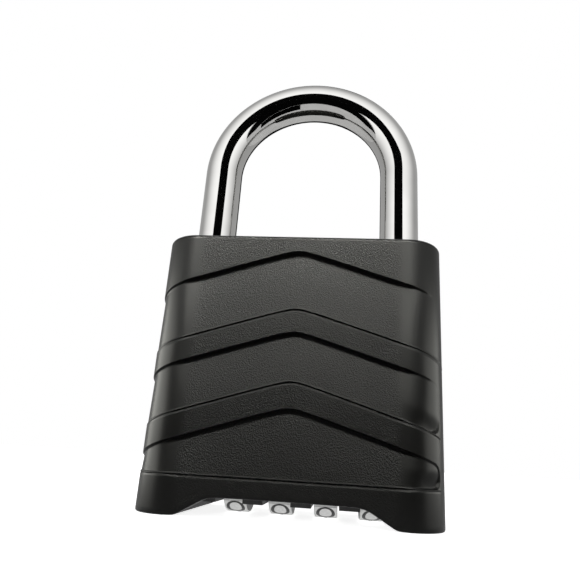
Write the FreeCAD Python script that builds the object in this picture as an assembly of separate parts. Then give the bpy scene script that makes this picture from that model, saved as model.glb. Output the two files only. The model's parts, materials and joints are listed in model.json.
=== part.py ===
import FreeCAD, Part
import math
import os

# Combination padlock with four number dials in its underside.
# Frame: origin on the ground under the middle of the body, +X to the right, +Y to the back, +Z up.
# All sizes are in millimetres.

# Body
BODY_WIDTH = 53.0
BODY_DEPTH = 26.5
BODY_HEIGHT = 50.0
CORNER_RADIUS = 6.7
EDGE_RADIUS = 0.8
FRONT_WALL = 2.4
SIDE_WALL = 2.0
TOP_WALL = 2.2
CORE_CLEARANCE = 0.1

# Feet and the notch between them
FOOT_WIDTH = 8.5
FOOT_HEIGHT = 3.2
FOOT_SLOPE_RUN = 5.1
FOOT_FLOOR = 4.2
FOOT_INNER_STEP = 0.5

# Raised chevron panels on the front and the back
TOP_BAND = 3.1
BOTTOM_BAND = 6.4
PANEL_SHARES = ((0.0, 0.28), (0.38, 0.602), (0.71, 1.0))
CHEVRON_SLOPE = 0.32
PANEL_DEPTH = 1.0
GROOVE_WIDTH = 0.5
GROOVE_DEPTH = 0.3

# Shackle
BAR_RADIUS = 4.0
LEG_LIGAMENT = 0.9
SHACKLE_RISE = 44.0
LIFT = 9.0
TOE_CLEAR = 2.0
LEG_HOLE_CLEARANCE = 0.2
LEG_BORE_CLEARANCE = 0.15
LEG_END_CHAMFER = 0.6
NECK_RADIUS = 2.8
NECK_LAND = 4.0
RUNNING_CLEARANCE = 0.08
BUSH_WALL = 0.37
BUSH_LENGTH = 5.0
PIN_RADIUS = 1.0
PIN_LENGTH = 18.0

# Dials and their gate hubs
DIAL_COUNT = 4
DIGITS = 10
DIAL_RADIUS = 8.0
DIAL_WIDTH = 4.1
DIAL_EDGE = 0.3
DIAL_GROUND_GAP = 0.2
DIAL_SIDE_CLEARANCE = 0.25
DIAL_RIM_CLEARANCE = 0.4
DIGIT_ANGLE = 241.0
NOTCH_RADIUS = 0.7
NOTCH_DEPTH = 0.35
HUB_APOTHEM = 5.0
HUB_CLEARANCE = 0.05
HUB_OVERHANG = 0.15
HUB_BORE = 3.7
FLANGE_THICKNESS = 0.8
GATE_WIDTH = 1.6
GATE_REACH = 3.6

# Spindle, cam follower and return spring
SPINDLE_RADIUS = 2.0
FIN_THICKNESS = 0.8
FIN_WIDTH = 1.3
FIN_REACH = 3.4
GATE_GAP = 0.2
FOLLOWER_THICKNESS = 1.0
FOLLOWER_WIDTH = 6.0
FOLLOWER_CLEARANCE = 0.1
FOLLOWER_SIDE_CLEARANCE = 0.05
NOSE_RADIUS = 0.8
NOSE_GAP = 0.05
CAM_END_GAP = 0.3
FOLLOWER_LAND = 1.0
SLOT_END_GAP = 0.1
SHAFT_GAP = 0.3
WEB = 0.5
SPINDLE_BUSH_RADIUS = 3.5
SPINDLE_BUSH_LENGTH = 1.8
CLIP_RADIUS = 3.1
CLIP_THICKNESS = 0.6
SPRING_LENGTH = 3.6
SPRING_RADIUS = 2.7
SPRING_WIRE = 0.18
SPRING_TURNS = 3.5
CAP_THICKNESS = 1.0
STACK_END_GAP = 0.2

# Carriage and bottom plate
CARRIAGE_ROOF = 1.4
POCKET_WALL = 4.0
POCKET_FLOOR = 3.0
POCKET_BOSS_WALL = 1.0
TOE_END_GAP = 0.5
PLATE_DROP = 0.85
PLATE_CLEARANCE = 0.15

# Detent leaf
LEAF_THICKNESS = 0.4
FINGER_THICKNESS = 0.3
FINGER_WIDTH = 2.4
FINGER_WINDOW = 3.0
FINGER_NOSE_RADIUS = 0.5
LEAF_HEIGHT = 3.2
LEAF_LAP = 0.4
LEAF_POCKET_GAP = 0.2
FINGER_ROOT = 0.3
FINGER_NOSE_GAP = 0.02
WINDOW_DROP = 1.2
WINDOW_DEPTH = 1.5
DETENT_ANGLE = DIGIT_ANGLE + 3.5 * 360.0 / DIGITS - 360.0

# Screws
SHELL_SCREW_RADIUS = 1.25
SHELL_SCREW_HEAD = 2.0
SHELL_SCREW_HEAD_HEIGHT = 1.0
SHELL_SEAT = 0.7
SHELL_BOSS_RADIUS = 2.4
SHELL_BOSS_LENGTH = 4.4
SHELL_BOSS_BOTTOM = 1.0
SHELL_SCREW_TIP_GAP = 0.3
CROSS_LENGTH = 2.4
CROSS_WIDTH = 0.5
CROSS_FLOOR = 0.4
BOSS_ROOT = 0.3
LOWER_SCREW_X = 9.0
UPPER_SCREW_LEG_GAP = 2.5
UPPER_SCREW_DROP = 4.7
CORE_SCREW_RADIUS = 1.0
CORE_SCREW_HEAD = 1.7
CORE_SCREW_HEAD_HEIGHT = 1.2
CORE_SCREW_REACH = 8.0
CORE_SCREW_EDGE = 0.2
CORE_SCREW_SINK = 0.1
CORE_SCREW_TIP_GAP = 0.5
LEFT_CORE_SCREW_Y = 6.2
RIGHT_CORE_SCREW_Y = 7.0
PLATE_SCREW_RADIUS = 0.6
PLATE_SCREW_HEAD = 1.1
PLATE_SCREW_LENGTH = 5.5
PLATE_SCREW_EDGE = 1.55
PLATE_SCREW_SHIFT = 0.9
LEAF_SCREW_HEAD = 1.2
LEAF_SCREW_HEAD_HEIGHT = 0.45
LEAF_SCREW_LENGTH = 3.5

# Places worked out from the sizes above
HALF_WIDTH = BODY_WIDTH / 2
HALF_DEPTH = BODY_DEPTH / 2
CAVITY_HALF_WIDTH = HALF_WIDTH - SIDE_WALL
CAVITY_HALF_DEPTH = HALF_DEPTH - FRONT_WALL
CAVITY_TOP = BODY_HEIGHT - TOP_WALL
CORE_HALF_WIDTH = CAVITY_HALF_WIDTH - CORE_CLEARANCE
CORE_HALF_DEPTH = CAVITY_HALF_DEPTH - CORE_CLEARANCE
CORE_TOP = CAVITY_TOP - CORE_CLEARANCE
CORE_BOTTOM = FOOT_FLOOR + CORE_CLEARANCE
FOOT_INNER = HALF_WIDTH - FOOT_WIDTH
OPENING_HALF_WIDTH = FOOT_INNER - FOOT_INNER_STEP
LEG_X = CORE_HALF_WIDTH - LEG_LIGAMENT - BAR_RADIUS
ARCH_Z = BODY_HEIGHT + SHACKLE_RISE - BAR_RADIUS - LEG_X
DIAL_AXIS_Z = DIAL_RADIUS + DIAL_GROUND_GAP
DIAL_SLOT_RADIUS = DIAL_RADIUS + DIAL_RIM_CLEARANCE
CARRIAGE_TOP = DIAL_AXIS_Z + DIAL_SLOT_RADIUS + CARRIAGE_ROOF
PLATE_BOTTOM = FOOT_HEIGHT - PLATE_DROP

# The fins cross the hub flanges while the shackle makes its full lift
TRAVEL = FIN_THICKNESS + FLANGE_THICKNESS + 2 * GATE_GAP
CAM_SLOPE = TRAVEL / LIFT
HEEL_BOTTOM = CORE_BOTTOM + CAM_END_GAP
CAM_FOOT = HEEL_BOTTOM + LEG_END_CHAMFER
NOSE_Z = CAM_FOOT + LIFT + CAM_END_GAP
CAM_TOP = NOSE_Z + NOSE_RADIUS + CAM_END_GAP
CAM_TOP_RADIUS = BAR_RADIUS - CAM_SLOPE * (CAM_TOP - CAM_FOOT)
SHOULDER_TOP = CAM_TOP + BAR_RADIUS - CAM_TOP_RADIUS
NECK_BOTTOM = SHOULDER_TOP + NECK_LAND
PIN_Z = NECK_BOTTOM + LIFT + PIN_RADIUS + LEG_BORE_CLEARANCE
NECK_TOP = PIN_Z + PIN_RADIUS + LEG_BORE_CLEARANCE
PIN_X = -LEG_X + NECK_RADIUS + FOLLOWER_CLEARANCE + PIN_RADIUS
TOE_BOTTOM = BODY_HEIGHT - LIFT + TOE_CLEAR

# Stack along the dial axis, from the heel leg to the right
FOLLOWER_X = -LEG_X + BAR_RADIUS + FOLLOWER_CLEARANCE
FOLLOWER_SLOT_END = FOLLOWER_X + FOLLOWER_THICKNESS + TRAVEL + FOLLOWER_CLEARANCE
FIRST_DIAL_SLOT = FOLLOWER_SLOT_END + WEB
DIAL_SLOT_HALF = DIAL_WIDTH / 2 + DIAL_SIDE_CLEARANCE
FIRST_DIAL_X = FIRST_DIAL_SLOT + DIAL_SLOT_HALF
SPRING_STACK = CLIP_THICKNESS + SPRING_LENGTH + CAP_THICKNESS + 2 * CORE_CLEARANCE
CAP_STACK = SPINDLE_BUSH_LENGTH + GATE_GAP + SPRING_STACK
LAST_DIAL_X = CORE_HALF_WIDTH - STACK_END_GAP - CAP_STACK - DIAL_SLOT_HALF
DIAL_PITCH = (LAST_DIAL_X - FIRST_DIAL_X) / (DIAL_COUNT - 1)
DIAL_CENTRES = [FIRST_DIAL_X + index * DIAL_PITCH for index in range(DIAL_COUNT)]
STACK_END = DIAL_CENTRES[-1] + DIAL_SLOT_HALF
CLIP_X = STACK_END + SPINDLE_BUSH_LENGTH + GATE_GAP
SPRING_X = CLIP_X + CLIP_THICKNESS + CORE_CLEARANCE
CAP_X = SPRING_X + SPRING_LENGTH + CORE_CLEARANCE
SPINDLE_END = CAP_X - TRAVEL - GATE_GAP

# Chevron lines: height at the middle of the face for each panel's upper step and lower groove
RELIEF_TOP = BODY_HEIGHT - TOP_BAND
RELIEF_HEIGHT = RELIEF_TOP - BOTTOM_BAND
PANEL_LINES = [
    (RELIEF_TOP - upper * RELIEF_HEIGHT, RELIEF_TOP - lower * RELIEF_HEIGHT)
    for upper, lower in PANEL_SHARES
]
UPPER_SCREW_X = LEG_X - BAR_RADIUS - UPPER_SCREW_LEG_GAP
LOWER_SCREW_Z = (PANEL_LINES[0][1] + PANEL_LINES[1][0]) / 2 - CHEVRON_SLOPE * LOWER_SCREW_X
SHELL_SCREWS = [
    (side * x, z)
    for x, z in ((LOWER_SCREW_X, LOWER_SCREW_Z), (UPPER_SCREW_X, BODY_HEIGHT - UPPER_SCREW_DROP))
    for side in (-1, 1)
]

# Screws that join the carriage to the upper block, and the plate to the carriage
LEFT_CORE_SCREW_X = FIRST_DIAL_SLOT - CORE_SCREW_HEAD - CORE_SCREW_EDGE
CORE_SCREWS = [
    (x, side * y)
    for x, y in ((LEFT_CORE_SCREW_X, LEFT_CORE_SCREW_Y), (LEG_X, RIGHT_CORE_SCREW_Y))
    for side in (-1, 1)
]
PLATE_SCREWS = [
    (x, side * (CORE_HALF_DEPTH - PLATE_SCREW_EDGE))
    for x in (LEFT_CORE_SCREW_X - PLATE_SCREW_SHIFT, (DIAL_CENTRES[-2] + DIAL_CENTRES[-1]) / 2)
    for side in (-1, 1)
]
LEAF_SCREWS = [(DIAL_CENTRES[0] + DIAL_CENTRES[1]) / 2, (DIAL_CENTRES[2] + DIAL_CENTRES[3]) / 2]

# Detent leaf, held against the back of the carriage
LEAF_Y = CORE_HALF_DEPTH - LEAF_THICKNESS - LEAF_SCREW_HEAD_HEIGHT
LEAF_BOTTOM = DIAL_AXIS_Z + DIAL_RADIUS - LEAF_HEIGHT + LEAF_LAP
LEAF_MIDDLE = LEAF_BOTTOM + LEAF_HEIGHT / 2

X_AXIS = FreeCAD.Vector(1, 0, 0)
Y_AXIS = FreeCAD.Vector(0, 1, 0)
Z_AXIS = FreeCAD.Vector(0, 0, 1)


def vector(x, y, z):
    return FreeCAD.Vector(x, y, z)


def box(x_range, y_range, z_range):
    size = [span[1] - span[0] for span in (x_range, y_range, z_range)]
    return Part.makeBox(*size, vector(x_range[0], y_range[0], z_range[0]))


def rod_x(radius, start, end, y=0.0, z=DIAL_AXIS_Z):
    return Part.makeCylinder(radius, end - start, vector(start, y, z), X_AXIS)


def rod_y(radius, start, end, x, z):
    return Part.makeCylinder(radius, end - start, vector(x, start, z), Y_AXIS)


def rod_z(radius, start, end, x, y=0.0):
    return Part.makeCylinder(radius, end - start, vector(x, y, start), Z_AXIS)


def prism_x(points, start, end):
    """Solid with a (y, z) outline, from start to end along X."""
    outline = [vector(start, y, z) for y, z in points]
    face = Part.Face(Part.makePolygon(outline + outline[:1]))
    return face.extrude(vector(end - start, 0, 0))


def turned_z(points, x):
    """Solid of revolution about the vertical line at x, from (radius, z) points."""
    outline = [vector(x + radius, 0, z) for radius, z in points]
    face = Part.Face(Part.makePolygon(outline + outline[:1]))
    return face.revolve(vector(x, 0, 0), Z_AXIS, 360)


def rounded_block(half_width, half_depth, radius, bottom, top):
    """Upright block with its four vertical edges rounded."""
    block = box((-half_width, half_width), (-half_depth, half_depth), (bottom, top))
    upright = [
        edge for edge in block.Edges
        if abs(edge.Vertexes[0].Z - edge.Vertexes[1].Z) > (top - bottom) / 2
    ]
    return block.makeFillet(radius, upright)


def fuse_all(shapes):
    return shapes[0].multiFuse(shapes[1:]).removeSplitter() if len(shapes) > 1 else shapes[0]


def mirrored(shape, normal):
    return shape.mirror(vector(0, 0, 0), normal)


def stack_room():
    """Room round the spindle's bush, clip, spring and cap, which low dials bring near to the floor."""
    return rod_x(SPINDLE_BUSH_RADIUS + CORE_CLEARANCE, STACK_END, CAVITY_HALF_WIDTH)


# ---- outer shells ----

def chevron_pocket(upper, lower, lower_slope):
    """Right half of a pocket in the front face: deepest under its upper line, flush at its lower line."""
    front = -HALF_DEPTH
    sections = []
    for x in (0.0, HALF_WIDTH):
        z_upper = upper - CHEVRON_SLOPE * x
        z_lower = min(lower - lower_slope * x, z_upper - GROOVE_WIDTH)
        corners = [
            vector(x, front - 1, z_upper),
            vector(x, front + PANEL_DEPTH, z_upper),
            vector(x, front, z_lower),
            vector(x, front - 1, z_lower),
        ]
        sections.append(Part.makePolygon(corners + corners[:1]))
    return Part.makeLoft(sections, True, True)


def chevron_groove(height, slope):
    """Right half of the thin V groove along a panel's lower line."""
    front = -HALF_DEPTH
    sections = []
    for x in (0.0, HALF_WIDTH):
        z = height - slope * x
        corners = [
            vector(x, front - 1, z + GROOVE_WIDTH / 2),
            vector(x, front, z + GROOVE_WIDTH / 2),
            vector(x, front + GROOVE_DEPTH, z),
            vector(x, front, z - GROOVE_WIDTH / 2),
            vector(x, front - 1, z - GROOVE_WIDTH / 2),
        ]
        sections.append(Part.makePolygon(corners + corners[:1]))
    return Part.makeLoft(sections, True, True)


def front_relief():
    cutters = []
    for index, (upper, lower) in enumerate(PANEL_LINES):
        slope = 0.0 if index == len(PANEL_LINES) - 1 else CHEVRON_SLOPE
        for cutter in (chevron_pocket(upper, lower, slope), chevron_groove(lower, slope)):
            cutters += [cutter, mirrored(cutter, X_AXIS)]
    return cutters


def foot_notch():
    inner = FOOT_INNER - FOOT_SLOPE_RUN
    outline = [
        vector(-FOOT_INNER - FOOT_SLOPE_RUN / FOOT_HEIGHT, -HALF_DEPTH - 1, -1),
        vector(-inner, -HALF_DEPTH - 1, FOOT_HEIGHT),
        vector(inner, -HALF_DEPTH - 1, FOOT_HEIGHT),
        vector(FOOT_INNER + FOOT_SLOPE_RUN / FOOT_HEIGHT, -HALF_DEPTH - 1, -1),
    ]
    face = Part.Face(Part.makePolygon(outline + outline[:1]))
    return face.extrude(vector(0, BODY_DEPTH + 2, 0))


def whole_shell():
    """Both shells in one, before they are parted along the middle of the sides."""
    block = rounded_block(HALF_WIDTH, HALF_DEPTH, CORNER_RADIUS, 0, BODY_HEIGHT)
    rim = [edge for edge in block.Edges if min(v.Z for v in edge.Vertexes) > BODY_HEIGHT - 0.01]
    block = block.makeFillet(EDGE_RADIUS, rim)
    cavity = rounded_block(
        CAVITY_HALF_WIDTH, CAVITY_HALF_DEPTH, CORNER_RADIUS - FRONT_WALL, FOOT_FLOOR, CAVITY_TOP
    )
    opening = box(
        (-OPENING_HALF_WIDTH, OPENING_HALF_WIDTH),
        (-CAVITY_HALF_DEPTH, CAVITY_HALF_DEPTH),
        (-1, FOOT_FLOOR + 1),
    )
    leg_holes = [
        rod_z(BAR_RADIUS + LEG_HOLE_CLEARANCE, CAVITY_TOP - 1, BODY_HEIGHT + 1, side * LEG_X)
        for side in (-1, 1)
    ]
    relief = front_relief()
    relief += [mirrored(cutter, Y_AXIS) for cutter in relief]
    return block.cut([cavity, opening, foot_notch(), stack_room()] + leg_holes + relief)


def half_shell(shell, side):
    """Front half for side -1, rear half for side 1."""
    ends = sorted((0.0, side * (HALF_DEPTH + 1)))
    half = box((-HALF_WIDTH - 1, HALF_WIDTH + 1), ends, (-1, BODY_HEIGHT + 1))
    return shell.common(half)


def front_shell(shell):
    boss_end = -CAVITY_HALF_DEPTH + SHELL_BOSS_LENGTH
    bosses = [
        rod_y(SHELL_BOSS_RADIUS, -CAVITY_HALF_DEPTH - BOSS_ROOT, boss_end, x, z) for x, z in SHELL_SCREWS
    ]
    holes = [
        rod_y(SHELL_SCREW_RADIUS, boss_end - SHELL_BOSS_LENGTH + SHELL_BOSS_BOTTOM, boss_end + 1, x, z)
        for x, z in SHELL_SCREWS
    ]
    return fuse_all([half_shell(shell, -1)] + bosses).cut(holes)


def rear_shell(shell):
    holes = []
    seat = CAVITY_HALF_DEPTH + SHELL_SEAT
    for x, z in SHELL_SCREWS:
        holes.append(rod_y(SHELL_SCREW_HEAD + CORE_CLEARANCE, seat, HALF_DEPTH + 1, x, z))
        holes.append(rod_y(SHELL_SCREW_RADIUS + CORE_CLEARANCE, 0, seat, x, z))
    return half_shell(shell, 1).cut(holes)


# ---- inner blocks ----

def core_block(bottom, top):
    return rounded_block(
        CORE_HALF_WIDTH, CORE_HALF_DEPTH, CORNER_RADIUS - FRONT_WALL, bottom, top
    )


def follower_slot():
    top = NOSE_Z + NOSE_RADIUS + FOLLOWER_LAND + SLOT_END_GAP
    half = FOLLOWER_WIDTH / 2 + FOLLOWER_SIDE_CLEARANCE
    return box((-LEG_X, FOLLOWER_SLOT_END), (-half, half), (CORE_BOTTOM - 1, top))


def heel_bore():
    return rod_z(BAR_RADIUS + LEG_BORE_CLEARANCE, CORE_BOTTOM - 1, CORE_TOP + 1, -LEG_X)


def core_screw_holes():
    holes = []
    for x, y in CORE_SCREWS:
        holes.append(rod_z(CORE_SCREW_RADIUS, CORE_BOTTOM, CARRIAGE_TOP + CORE_SCREW_REACH, x, y))
        head_top = CORE_BOTTOM + CORE_SCREW_HEAD_HEIGHT
        holes.append(rod_z(CORE_SCREW_HEAD + CORE_CLEARANCE, CORE_BOTTOM - 1, head_top, x, y))
    return holes


def upper_block():
    block = core_block(CARRIAGE_TOP, CORE_TOP)
    bush_bottom = CORE_TOP - BUSH_LENGTH
    bush_radius = BAR_RADIUS + RUNNING_CLEARANCE + BUSH_WALL
    cuts = [heel_bore(), follower_slot()] + core_screw_holes()
    cuts += [rod_z(bush_radius, bush_bottom, CORE_TOP + 1, side * LEG_X) for side in (-1, 1)]
    cuts.append(rod_z(BAR_RADIUS + LEG_BORE_CLEARANCE, TOE_BOTTOM - TOE_END_GAP, CORE_TOP + 1, LEG_X))
    cuts.append(rod_y(PIN_RADIUS, -PIN_LENGTH / 2, PIN_LENGTH / 2, PIN_X, PIN_Z))
    boss_end = -CAVITY_HALF_DEPTH + SHELL_BOSS_LENGTH + CORE_CLEARANCE
    for x, z in SHELL_SCREWS:
        cuts.append(rod_y(SHELL_BOSS_RADIUS + CORE_CLEARANCE, -HALF_DEPTH, boss_end, x, z))
        cuts.append(rod_y(SHELL_SCREW_RADIUS + CORE_CLEARANCE, -HALF_DEPTH, HALF_DEPTH, x, z))
    pocket_half = LOWER_SCREW_X - SHELL_BOSS_RADIUS - POCKET_BOSS_WALL
    cuts.append(box(
        (-pocket_half, pocket_half),
        (-HALF_DEPTH, CORE_HALF_DEPTH - POCKET_WALL),
        (CARRIAGE_TOP + POCKET_FLOOR, CORE_TOP - POCKET_WALL),
    ))
    return block.cut(cuts)


def dial_slot(x, bottom):
    half = DIAL_SLOT_HALF
    round_part = rod_x(DIAL_SLOT_RADIUS, x - half, x + half)
    open_part = box(
        (x - half, x + half), (-DIAL_SLOT_RADIUS, DIAL_SLOT_RADIUS), (bottom, DIAL_AXIS_Z)
    )
    return round_part.fuse(open_part)


def dial_carriage():
    block = core_block(CORE_BOTTOM, CARRIAGE_TOP)
    cuts = [heel_bore(), follower_slot()] + core_screw_holes()
    cuts += [dial_slot(x, CORE_BOTTOM - 1) for x in DIAL_CENTRES]
    cuts.append(rod_x(HUB_BORE, FIRST_DIAL_SLOT, STACK_END))
    cuts.append(rod_x(SPINDLE_RADIUS + SHAFT_GAP, FOLLOWER_SLOT_END - 1, FIRST_DIAL_SLOT + 1))
    cuts.append(rod_x(SPINDLE_BUSH_RADIUS, STACK_END, HALF_WIDTH))
    cuts += [
        rod_z(PLATE_SCREW_RADIUS, CORE_BOTTOM - 1, PLATE_BOTTOM + PLATE_SCREW_LENGTH, x, y)
        for x, y in PLATE_SCREWS
    ]
    cuts.append(box(
        (DIAL_CENTRES[0] - DIAL_SLOT_HALF, DIAL_CENTRES[-1] + DIAL_SLOT_HALF),
        (LEAF_Y, HALF_DEPTH),
        (LEAF_BOTTOM - LEAF_POCKET_GAP, LEAF_BOTTOM + LEAF_HEIGHT + LEAF_POCKET_GAP),
    ))
    window_bottom = finger_nose()[1] - WINDOW_DROP
    for x in DIAL_CENTRES:
        cuts.append(box(
            (x - FINGER_WINDOW / 2, x + FINGER_WINDOW / 2),
            (DIAL_RADIUS - WINDOW_DEPTH, HALF_DEPTH),
            (window_bottom, LEAF_BOTTOM + LEAF_HEIGHT / 2),
        ))
    for x in LEAF_SCREWS:
        cuts.append(rod_y(PLATE_SCREW_RADIUS, LEAF_Y - LEAF_SCREW_LENGTH, LEAF_Y + 1, x, LEAF_MIDDLE))
    return block.cut(cuts)


def dial_plate():
    """Comb-shaped plate that closes the underside between the dials; its slots are open at the front."""
    half_width = OPENING_HALF_WIDTH - PLATE_CLEARANCE
    plate = box(
        (-half_width, half_width), (-CORE_HALF_DEPTH, CORE_HALF_DEPTH), (PLATE_BOTTOM, CORE_BOTTOM)
    )
    cuts = [stack_room()]
    for x in DIAL_CENTRES:
        cuts.append(box(
            (x - DIAL_SLOT_HALF, x + DIAL_SLOT_HALF),
            (-HALF_DEPTH, DIAL_SLOT_RADIUS),
            (0, FOOT_FLOOR + 1),
        ))
    for x, y in PLATE_SCREWS:
        cuts.append(plate_screw_at(x, y))
    return plate.cut(cuts)


# ---- shackle and its guides ----

def heel_leg():
    """Long leg: cam cone at the foot, shoulder, full bar, neck for the retaining pin, full bar."""
    return turned_z(
        [
            (0, HEEL_BOTTOM),
            (BAR_RADIUS - LEG_END_CHAMFER, HEEL_BOTTOM),
            (BAR_RADIUS, CAM_FOOT),
            (CAM_TOP_RADIUS, CAM_TOP),
            (BAR_RADIUS, SHOULDER_TOP),
            (BAR_RADIUS, NECK_BOTTOM),
            (NECK_RADIUS, NECK_BOTTOM),
            (NECK_RADIUS, NECK_TOP),
            (BAR_RADIUS, NECK_TOP),
            (BAR_RADIUS, ARCH_Z),
            (0, ARCH_Z),
        ],
        -LEG_X,
    )


def toe_leg():
    return turned_z(
        [
            (0, TOE_BOTTOM),
            (BAR_RADIUS - LEG_END_CHAMFER, TOE_BOTTOM),
            (BAR_RADIUS, TOE_BOTTOM + LEG_END_CHAMFER),
            (BAR_RADIUS, ARCH_Z),
            (0, ARCH_Z),
        ],
        LEG_X,
    )


def shackle():
    circle = Part.Wire(Part.makeCircle(BAR_RADIUS, vector(LEG_X, 0, ARCH_Z), Z_AXIS))
    arch = Part.Face(circle).revolve(vector(0, 0, ARCH_Z), -Y_AXIS, 180)
    return heel_leg().fuse(arch).fuse(toe_leg())


def leg_bush(x):
    inner = BAR_RADIUS + RUNNING_CLEARANCE
    bottom = CORE_TOP - BUSH_LENGTH
    return rod_z(inner + BUSH_WALL, bottom, CORE_TOP, x).cut(rod_z(inner, bottom, CORE_TOP, x))


def retaining_pin():
    return rod_y(PIN_RADIUS, -PIN_LENGTH / 2, PIN_LENGTH / 2, PIN_X, PIN_Z)


# ---- dials ----

def rim_point(radius, degrees):
    angle = math.radians(degrees)
    return radius * math.cos(angle), DIAL_AXIS_Z + radius * math.sin(angle)


def ten_sided(apothem, start, end):
    corner = apothem / math.cos(math.pi / DIGITS)
    points = [rim_point(corner, 90 + (side + 0.5) * 360.0 / DIGITS) for side in range(DIGITS)]
    return prism_x(points, start, end)


def dial(x):
    """Number ring: bevelled rim, one notch between each pair of digits, ten-sided bore for its hub."""
    left, right = x - DIAL_WIDTH / 2, x + DIAL_WIDTH / 2
    ring = rod_x(DIAL_RADIUS, left, right)
    rims = [edge for edge in ring.Edges if edge.Curve.TypeId == "Part::GeomCircle"]
    ring = ring.makeFillet(DIAL_EDGE, rims)
    cuts = [ten_sided(HUB_APOTHEM + HUB_CLEARANCE, left - 1, right + 1)]
    for index in range(DIGITS):
        angle = DIGIT_ANGLE + (index + 0.5) * 360.0 / DIGITS
        y, z = rim_point(DIAL_RADIUS + NOTCH_RADIUS - NOTCH_DEPTH, angle)
        cuts.append(rod_x(NOTCH_RADIUS, left - 1, right + 1, y, z))
    return ring.cut(cuts)


def hub(x):
    """Gate sleeve inside a dial: a thin flange with one gate that lets the spindle's fin through."""
    half = DIAL_WIDTH / 2 + HUB_OVERHANG
    half_flange = FLANGE_THICKNESS / 2
    sleeve = ten_sided(HUB_APOTHEM, x - half, x + half)
    cuts = [
        rod_x(HUB_BORE, x - half - 1, x - half_flange),
        rod_x(HUB_BORE, x + half_flange, x + half + 1),
        rod_x(SPINDLE_RADIUS + RUNNING_CLEARANCE, x - half, x + half),
        box(
            (x - half, x + half),
            (-GATE_WIDTH / 2, GATE_WIDTH / 2),
            (DIAL_AXIS_Z, DIAL_AXIS_Z + GATE_REACH),
        ),
    ]
    return sleeve.cut(cuts)


# ---- spindle and what slides with it ----

def spindle():
    shaft = rod_x(SPINDLE_RADIUS, FOLLOWER_X, SPINDLE_END)
    pieces = [shaft]
    for x in DIAL_CENTRES:
        fin_end = x - FLANGE_THICKNESS / 2 - GATE_GAP
        pieces.append(box(
            (fin_end - FIN_THICKNESS, fin_end),
            (-FIN_WIDTH / 2, FIN_WIDTH / 2),
            (DIAL_AXIS_Z, DIAL_AXIS_Z + FIN_REACH),
        ))
    return fuse_all(pieces)


def cam_follower():
    """Flat slide block on the spindle's left end, with a round nose that bears on the heel leg's cone."""
    cone_x = -LEG_X + BAR_RADIUS - CAM_SLOPE * (NOSE_Z - CAM_FOOT)
    nose_x = cone_x + (NOSE_RADIUS + NOSE_GAP) * math.hypot(1, CAM_SLOPE)
    half = FOLLOWER_WIDTH / 2
    plate = box(
        (FOLLOWER_X, FOLLOWER_X + FOLLOWER_THICKNESS),
        (-half, half),
        (CAM_FOOT, NOSE_Z + NOSE_RADIUS + FOLLOWER_LAND),
    )
    nose = rod_y(NOSE_RADIUS, -half, half, nose_x, NOSE_Z)
    neck = box((nose_x, FOLLOWER_X), (-half, half), (NOSE_Z - NOSE_RADIUS, NOSE_Z + NOSE_RADIUS))
    return fuse_all([plate, nose, neck]).cut(rod_x(SPINDLE_RADIUS, FOLLOWER_X - 1, FOLLOWER_SLOT_END))


def spindle_bush():
    end = STACK_END + SPINDLE_BUSH_LENGTH
    bore = rod_x(SPINDLE_RADIUS + RUNNING_CLEARANCE, STACK_END, end)
    return rod_x(SPINDLE_BUSH_RADIUS, STACK_END, end).cut(bore)


def spindle_clip():
    end = CLIP_X + CLIP_THICKNESS
    return rod_x(CLIP_RADIUS, CLIP_X, end).cut(rod_x(SPINDLE_RADIUS, CLIP_X, end))


def spindle_spring():
    lift = SPRING_LENGTH - 2 * SPRING_WIRE
    helix = Part.makeHelix(lift / SPRING_TURNS, lift, SPRING_RADIUS)
    start = helix.Edges[0].valueAt(helix.Edges[0].FirstParameter)
    section = Part.Wire(Part.makeCircle(SPRING_WIRE, start, Y_AXIS))
    coil = helix.makePipeShell([section], True, True)
    coil.rotate(vector(0, 0, 0), Y_AXIS, 90)
    coil.translate(vector(SPRING_X + SPRING_WIRE, 0, DIAL_AXIS_Z))
    return coil


def spring_cap():
    return rod_x(SPINDLE_BUSH_RADIUS, CAP_X, CAP_X + CAP_THICKNESS)


# ---- detent leaf ----

def finger_nose():
    return rim_point(DIAL_RADIUS - NOTCH_DEPTH + FINGER_NOSE_RADIUS + FINGER_NOSE_GAP, DETENT_ANGLE)


def detent_finger(x):
    """Springy finger from the strip down to a round nose that rests in a notch of the dial."""
    left, right = x - FINGER_WIDTH / 2, x + FINGER_WIDTH / 2
    nose_y, nose_z = finger_nose()
    root_y, root_z = LEAF_Y + LEAF_THICKNESS / 2, LEAF_BOTTOM + FINGER_ROOT
    length = math.hypot(root_y - nose_y, root_z - nose_z)
    across_y = (root_z - nose_z) / length * FINGER_THICKNESS / 2
    across_z = -(root_y - nose_y) / length * FINGER_THICKNESS / 2
    blade = prism_x(
        [
            (nose_y + across_y, nose_z + across_z),
            (root_y + across_y, root_z + across_z),
            (root_y - across_y, root_z - across_z),
            (nose_y - across_y, nose_z - across_z),
        ],
        left,
        right,
    )
    return [blade, rod_x(FINGER_NOSE_RADIUS, left, right, nose_y, nose_z)]


def detent_leaf():
    strip = box(
        (DIAL_CENTRES[0] - FINGER_WIDTH / 2, DIAL_CENTRES[-1] + FINGER_WIDTH / 2),
        (LEAF_Y, LEAF_Y + LEAF_THICKNESS),
        (LEAF_BOTTOM, LEAF_BOTTOM + LEAF_HEIGHT),
    )
    pieces = [strip]
    for x in DIAL_CENTRES:
        pieces += detent_finger(x)
    holes = [rod_y(PLATE_SCREW_RADIUS, LEAF_Y - 1, HALF_DEPTH, x, LEAF_MIDDLE) for x in LEAF_SCREWS]
    return fuse_all(pieces).cut(holes)


# ---- screws ----

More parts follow.
